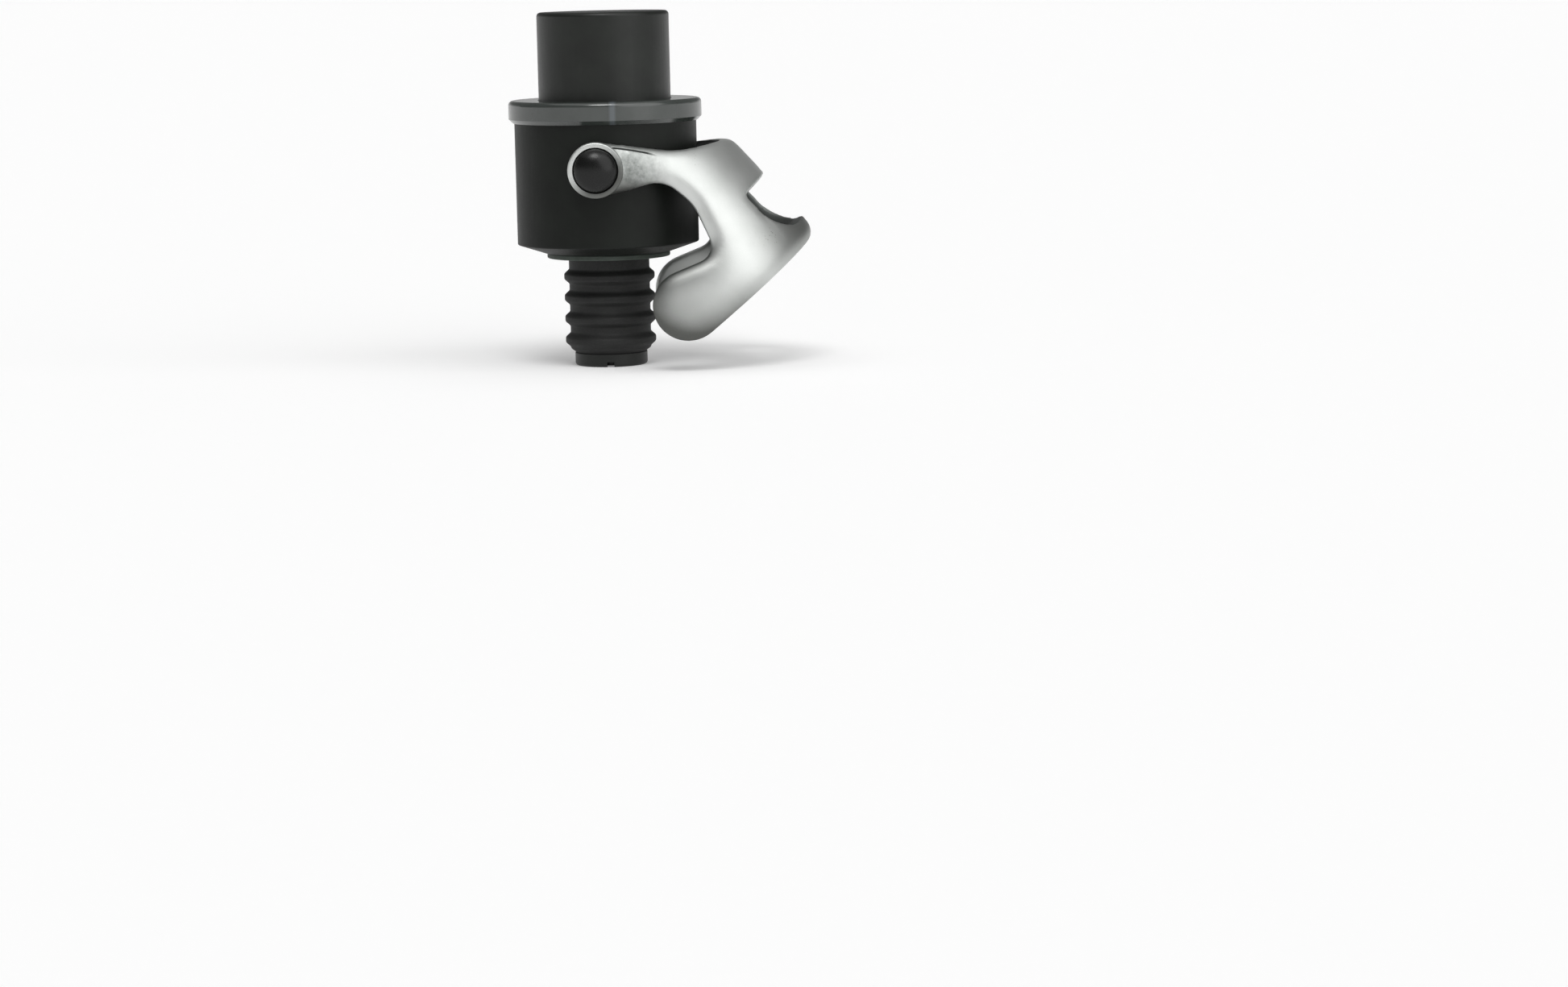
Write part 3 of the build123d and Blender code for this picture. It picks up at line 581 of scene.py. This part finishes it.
# Inner faces painted darker as shade, and made rougher
rough_shaded_inside = lever_mesh.attributes.new("rough_shaded_inside", "FLOAT", "POINT")
rough_shaded_share = np.where(beside_window, blended(-facing, -0.6, -0.1), blended(-facing, 0.3, 0.7))
rough_shaded_share *= (from_eye > EYE_RADIUS) * away(JAW_INSIDE, 11.0, 18.0)
rough_shaded_inside.data.foreach_set("value", evened(rough_shaded_share, 2))

SIDES_ROUND = 96
TURNS = [tau * step / SIDES_ROUND for step in range(SIDES_ROUND)]


def turn_round_axis(solid, profile, side):
    """Rows of vertices of a profile of radius and reach, turned round the lever's axis on one side."""
    rows = []
    for radius, reach_out in profile:
        places = [PIVOT + Vector((radius * cos(a), side * reach_out, radius * sin(a))) for a in TURNS]
        rows.append([solid.verts.new(place * MM) for place in places])
    return rows


def skin_rows(solid, rows, side):
    """Faces between rows of vertices that were turned on one side."""
    for row, following in zip(rows, rows[1:]):
        for step in range(SIDES_ROUND):
            corners = (row[step], row[step - 1], following[step - 1], following[step])
            solid.faces.new(corners if side > 0 else corners[::-1])


casting = bmesh.new()
casting.from_mesh(lever_mesh)
shade_layer = casting.verts.layers.float["painted_shade"]
for side in (-1, 1):
    # Rim of the eye: a ring with a rounded outer edge and a smaller round at the pin's recess
    rim_foot = EYE_REACH - EYE_RIM_DEPTH
    profile = [(PIN_RECESS_RADIUS, rim_foot), (EYE_RIM_RADIUS, rim_foot)]
    profile += [
        (EYE_RIM_RADIUS - EYE_RIM_ROUND * (1 - cos(a)), EYE_REACH - EYE_RIM_ROUND * (1 - sin(a)))
        for a in np.linspace(0, pi / 2, 6)
    ]
    profile += [
        (PIN_RECESS_RADIUS + RECESS_ROUND * (1 - sin(a)), EYE_REACH - RECESS_ROUND * (1 - cos(a)))
        for a in np.linspace(0, pi / 2, 4)
    ]
    rows = turn_round_axis(casting, profile, side)
    # Each rim carries its eye's painted shade
    for row in rows:
        for vertex, a in zip(row, TURNS):
            vertex[shade_layer] = eye_shade_share(cos(a), sin(a))
    skin_rows(casting, rows + rows[:1], side)
casting.to_mesh(lever_mesh)
casting.free()
lever_mesh.shade_smooth()
new_piece("cast_lever", lever_mesh, "lever", "lever_cast", "lever")


# Pins: turned, with heads that are half an ellipse and start below the eye's outer face

def soften(mesh, crease):
    """Smooth shading apart from the edges that turn by more than an angle in degrees."""
    skin = bmesh.new()
    skin.from_mesh(mesh)
    bmesh.ops.remove_doubles(skin, verts=skin.verts, dist=WELDED * MM)
    bmesh.ops.recalc_face_normals(skin, faces=skin.faces)
    for edge in skin.edges:
        edge.smooth = not edge.is_manifold or edge.calc_face_angle() < radians(crease)
    for face in skin.faces:
        face.smooth = True
    skin.to_mesh(mesh)
    skin.free()


for side, side_name in ((-1, "near"), (1, "far")):
    head = bmesh.new()
    profile = [
        (PIN_HEAD_RADIUS * sin(a), PIN_RIM + (PIN_TOP - PIN_RIM) * cos(a))
        for a in np.linspace(0, pi / 2, 24)
    ]
    profile += [(PIN_HEAD_RADIUS, PIN_HEAD_FOOT), (PIN_SHANK_RADIUS, PIN_HEAD_FOOT)]
    profile += [(PIN_SHANK_RADIUS, PIN_PAD), (PIN_TIP_RADIUS, PIN_PAD)]
    profile += [(PIN_TIP_RADIUS, PIN_END), (0.0, PIN_END)]
    skin_rows(head, turn_round_axis(head, profile, side), side)
    pin_mesh = bpy.data.meshes.new("pin")
    head.to_mesh(pin_mesh)
    head.free()
    soften(pin_mesh, 40.0)
    new_piece(f"domed_pin_{side_name}", pin_mesh, "stopper_body", "pin_black", f"pivot_pin_{side_name}")


# Plug: a turned tube whose soft ribs are spaced by rule

def ribbed_plug():
    """Mesh of a ribbed rubber plug round its stem."""
    sizes = {
        "Top": PLUG_TOP,
        "Length": PLUG_LENGTH,
        "Core Radius": PLUG_CORE_RADIUS,
        "Rib Radius": PLUG_RIB_RADIUS,
        "Nose Radius": PLUG_NOSE_RADIUS,
        "Stem Radius": STEM_RADIUS,
        "First Rib Depth": PLUG_FIRST_RIB_DEPTH,
        "Rib Pitch": PLUG_RIB_PITCH,
        "Rib Half Land": PLUG_RIB_HALF_LAND,
        "Rib Half Foot": PLUG_RIB_HALF_FOOT,
    }
    counts = {"Ribs": PLUG_RIBS, "Sides": 96, "Rows": 140}
    tree, given = new_rule("ribbed plug", sizes, counts)
    sheet = add_node(
        tree,
        "GeometryNodeMeshGrid",
        {"Size X": 1.0, "Size Y": 1.0, "Vertices X": given["Sides"], "Vertices Y": given["Rows"]},
    )
    across = tree.nodes.new("ShaderNodeSeparateXYZ")
    tree.links.new(add_node(tree, "GeometryNodeInputPosition"), across.inputs[0])
    turn = add_node(tree, "ShaderNodeMath", {0: across.outputs["X"], 1: tau}, operation="MULTIPLY")
    last_row = add_node(tree, "ShaderNodeMath", {0: given["Rows"], 1: 1.0}, operation="SUBTRACT")
    row = add_node(tree, "ShaderNodeMath", {0: across.outputs["Y"], 1: 0.5}, operation="ADD")
    row = add_node(tree, "ShaderNodeMath", {0: row, 1: last_row}, operation="MULTIPLY")

    # The first row lies at the stem's top, the last two go back up along the stem
    skin_end = add_node(tree, "ShaderNodeMath", {0: last_row, 1: 2.0}, operation="SUBTRACT")
    whole = add_node(tree, "ShaderNodeMath", {0: given["Length"], 1: given["Top"]}, operation="ADD")
    down = add_node(
        tree,
        "ShaderNodeMapRange",
        {"Value": row, "From Min": 1.0, "From Max": skin_end, "To Min": 0.0, "To Max": whole},
    )
    depth = add_node(tree, "ShaderNodeMath", {0: down, 1: given["Top"]}, operation="SUBTRACT")
    past_first = add_node(
        tree, "ShaderNodeMath", {0: depth, 1: given["First Rib Depth"]}, operation="SUBTRACT"
    )
    rib = add_node(tree, "ShaderNodeMath", {0: past_first, 1: given["Rib Pitch"]}, operation="DIVIDE")
    rib = add_node(tree, "ShaderNodeMath", {0: rib}, operation="ROUND")
    last_rib = add_node(tree, "ShaderNodeMath", {0: given["Ribs"], 1: 1.0}, operation="SUBTRACT")
    rib = add_node(tree, "ShaderNodeClamp", {"Value": rib, "Min": 0.0, "Max": last_rib})
    at_rib = add_node(tree, "ShaderNodeMath", {0: rib, 1: given["Rib Pitch"]}, operation="MULTIPLY")
    off_rib = add_node(tree, "ShaderNodeMath", {0: past_first, 1: at_rib}, operation="SUBTRACT")
    off_rib = add_node(tree, "ShaderNodeMath", {0: off_rib}, operation="ABSOLUTE")
    radius = add_node(
        tree,
        "ShaderNodeMapRange",
        {
            "Value": off_rib,
            "From Min": given["Rib Half Land"],
            "From Max": given["Rib Half Foot"],
            "To Min": given["Rib Radius"],
            "To Max": given["Core Radius"],
        },
        interpolation_type="SMOOTHSTEP",
    )
    over_nose = add_node(tree, "ShaderNodeMath", {0: given["Length"], 1: 1.0}, operation="SUBTRACT")
    drawn_in = add_node(
        tree,
        "ShaderNodeMapRange",
        {
            "Value": depth,
            "From Min": over_nose,
            "From Max": given["Length"],
            "To Min": 0.0,
            "To Max": 1.0,
        },
        interpolation_type="SMOOTHSTEP",
    )
    radius = add_node(tree, "ShaderNodeMix", {0: drawn_in, 2: radius, 3: given["Nose Radius"]})
    at_stem = add_node(tree, "ShaderNodeMath", {0: row, 1: 0.5}, operation="LESS_THAN")
    past_skin = add_node(tree, "ShaderNodeMath", {0: skin_end, 1: 0.5}, operation="ADD")
    at_end = add_node(tree, "ShaderNodeMath", {0: row, 1: past_skin}, operation="GREATER_THAN")
    at_stem = add_node(tree, "ShaderNodeMath", {0: at_stem, 1: at_end}, operation="MAXIMUM")
    radius = add_node(tree, "ShaderNodeMix", {0: at_stem, 2: radius, 3: given["Stem Radius"]})
    back_up = add_node(tree, "ShaderNodeMath", {0: last_row, 1: 0.5}, operation="SUBTRACT")
    back_up = add_node(tree, "ShaderNodeMath", {0: row, 1: back_up}, operation="GREATER_THAN")
    depth = add_node(tree, "ShaderNodeMix", {0: back_up, 2: depth, 3: -PLUG_TOP})

    cosine = add_node(tree, "ShaderNodeMath", {0: turn}, operation="COSINE")
    sine = add_node(tree, "ShaderNodeMath", {0: turn}, operation="SINE")
    x = add_node(tree, "ShaderNodeMath", {0: radius, 1: cosine}, operation="MULTIPLY")
    y = add_node(tree, "ShaderNodeMath", {0: radius, 1: sine}, operation="MULTIPLY")
    z = add_node(tree, "ShaderNodeMath", {0: depth, 1: -1.0}, operation="MULTIPLY")
    place = add_node(tree, "ShaderNodeCombineXYZ", {"X": x, "Y": y, "Z": z})
    place = add_node(tree, "ShaderNodeVectorMath", {0: place, "Scale": MM}, operation="SCALE")
    tube = add_node(tree, "GeometryNodeSetPosition", {"Geometry": sheet, "Position": place})
    tube = add_node(tree, "GeometryNodeMergeByDistance", {"Geometry": tube, "Distance": WELDED * MM})
    return made_by(tree, tube, "plug_rubber", {**sizes, **counts})


plug_mesh = ribbed_plug()
soften(plug_mesh, 40.0)
new_piece("ribbed_plug", plug_mesh, "stopper_body", "plug_rubber", "rubber_plug")


# Return spring: a coil round the pump's barrel, made here at one length though the pump's stroke shortens
# it

def wound_spring(high, foot):
    """Mesh of a coil of wire that stands on its foot and reaches a box's upper corner."""
    sizes = {
        "Wire Radius": SPRING_WIRE_RADIUS,
        "Coil Radius": high.x / MM - SPRING_WIRE_RADIUS,
        "Foot": foot,
        "Height": high.z / MM - foot,
    }
    counts = {"Turns": SPRING_TURNS, "Steps Per Turn": 48, "Wire Sides": 12}
    tree, given = new_rule("wound spring", sizes, counts)
    ends = add_node(tree, "ShaderNodeMath", {0: given["Wire Radius"], 1: 2.0}, operation="MULTIPLY")
    rise = add_node(tree, "ShaderNodeMath", {0: given["Height"], 1: ends}, operation="SUBTRACT")
    path = add_node(
        tree,
        "GeometryNodeCurveSpiral",
        {
            "Resolution": given["Steps Per Turn"],
            "Rotations": given["Turns"],
            "Start Radius": given["Coil Radius"],
            "End Radius": given["Coil Radius"],
            "Height": rise,
        },
    )
    wire = add_node(
        tree,
        "GeometryNodeCurvePrimitiveCircle",
        {"Resolution": given["Wire Sides"], "Radius": given["Wire Radius"]},
    )
    coil = add_node(
        tree, "GeometryNodeCurveToMesh", {"Curve": path, "Profile Curve": wire, "Fill Caps": True}
    )
    lift = add_node(tree, "ShaderNodeMath", {0: given["Foot"], 1: given["Wire Radius"]}, operation="ADD")
    lift = add_node(tree, "ShaderNodeCombineXYZ", {"Z": lift})
    coil = add_node(tree, "GeometryNodeTransform", {"Geometry": coil, "Translation": lift})
    coil = add_node(tree, "GeometryNodeTransform", {"Geometry": coil, "Scale": (MM, MM, MM)})
    return made_by(tree, coil, "spring_steel", {**sizes, **counts})


joints = {joint["name"]: joint for joint in frame["record"]["behaviour"]["joints"]}
pump_slide = joints["pump_slide"]
_, spring_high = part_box("return_spring")
spring_foot = pump_slide["deforming_nodes"][0]["fixed_end_z_m"]
spring_mesh = wound_spring(spring_high, spring_foot / MM)
soften(spring_mesh, 50.0)
spring = new_piece("wound_spring", spring_mesh, "stopper_body", "spring_steel", "return_spring")
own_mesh(spring)


# Floor, lamps and camera

floor_finish, floor_tree, _ = new_finish("paper floor")
ray = floor_tree.nodes.new("ShaderNodeLightPath").outputs
seen = add_node(
    floor_tree, "ShaderNodeMath", {0: ray["Is Camera Ray"], 1: ray["Is Glossy Ray"]}, operation="MAXIMUM"
)
seen = add_node(
    floor_tree, "ShaderNodeMath", {0: seen, 1: ray["Is Transmission Ray"]}, operation="MAXIMUM"
)
lift = add_node(floor_tree, "ShaderNodeMath", {0: seen, 1: 0.2}, operation="MULTIPLY")
glow = add_node(floor_tree, "ShaderNodeEmission", {"Color": colour("FFFFFF"), "Strength": lift})
paper = add_node(floor_tree, "ShaderNodeBsdfDiffuse", {"Color": colour("F2F2F2")})
paper = add_node(floor_tree, "ShaderNodeAddShader", {0: paper, 1: glow})
add_node(floor_tree, "ShaderNodeOutputMaterial", {"Surface": paper})

floor_reach = 12.0
floor_mesh = bpy.data.meshes.new("floor")
corners = [
    (floor_reach * x, floor_reach * y, cad_box[0].z) for x, y in ((-1, -1), (1, -1), (1, 1), (-1, 1))
]
floor_mesh.from_pydata(corners, [], [(0, 1, 2, 3)])
floor_mesh.materials.append(floor_finish)
new_object("floor", floor_mesh)

world = bpy.data.worlds.new("studio")
bpy.context.scene.world = world
world.use_nodes = True
world.node_tree.nodes.clear()
# White wall all round that fades upwards over 12 degrees to a dim ceiling
facing_up = world.node_tree.nodes.new("ShaderNodeSeparateXYZ")
world.node_tree.links.new(add_node(world.node_tree, "ShaderNodeTexCoord"), facing_up.inputs[0])
walls = add_node(
    world.node_tree,
    "ShaderNodeMapRange",
    {"Value": facing_up.outputs["Z"], "From Min": 0.0, "From Max": 0.2, "To Min": 1.0, "To Max": 0.18},
)
studio = add_node(world.node_tree, "ShaderNodeBackground", {"Color": colour("FFFFFF"), "Strength": walls})
add_node(world.node_tree, "ShaderNodeOutputWorld", {"Surface": studio})


def soft_lamp(name, azimuth, elevation, breadth, level):
    """Even light from a broad disc far away. At level 1 a facing surface shows its written colour."""
    lamp = bpy.data.lights.new(name, "SUN")
    lamp.angle = radians(breadth)
    lamp.energy = level * pi
    around, up = radians(azimuth), radians(elevation)
    source = Vector((sin(around) * cos(up), -cos(around) * cos(up), sin(up)))
    new_object(name, lamp).rotation_euler = source.to_track_quat("Z", "Y").to_euler()


soft_lamp("right", 46.0, 30.0, 62.0, 0.38)
soft_lamp("above", -4.0, 56.0, 24.0, 0.33)
soft_lamp("top", 0.0, 84.0, 80.0, 0.22)

# Fitted to the photograph: place in millimetres, angles in degrees
CAMERA_PLACE = Vector((22.71, -800.0, 61.98))
CAMERA_TURN, CAMERA_DOWN, CAMERA_TILT = 0.796, 7.86, 1.212
lens = bpy.data.cameras.new("camera")
lens.sensor_width = 36.0
lens.lens = 92.39
lens.clip_start, lens.clip_end = 0.05, 50.0
camera = new_object("camera", lens)
aim = Matrix.Rotation(-radians(CAMERA_TURN), 4, "Z")
aim = aim @ Matrix.Rotation(radians(90.0 - CAMERA_DOWN), 4, "X")
aim = aim @ Matrix.Rotation(-radians(CAMERA_TILT), 4, "Z")
camera.matrix_world = Matrix.Translation(CAMERA_PLACE * MM) @ aim
bpy.context.scene.camera = camera
bpy.context.scene.view_settings.view_transform = "Standard"
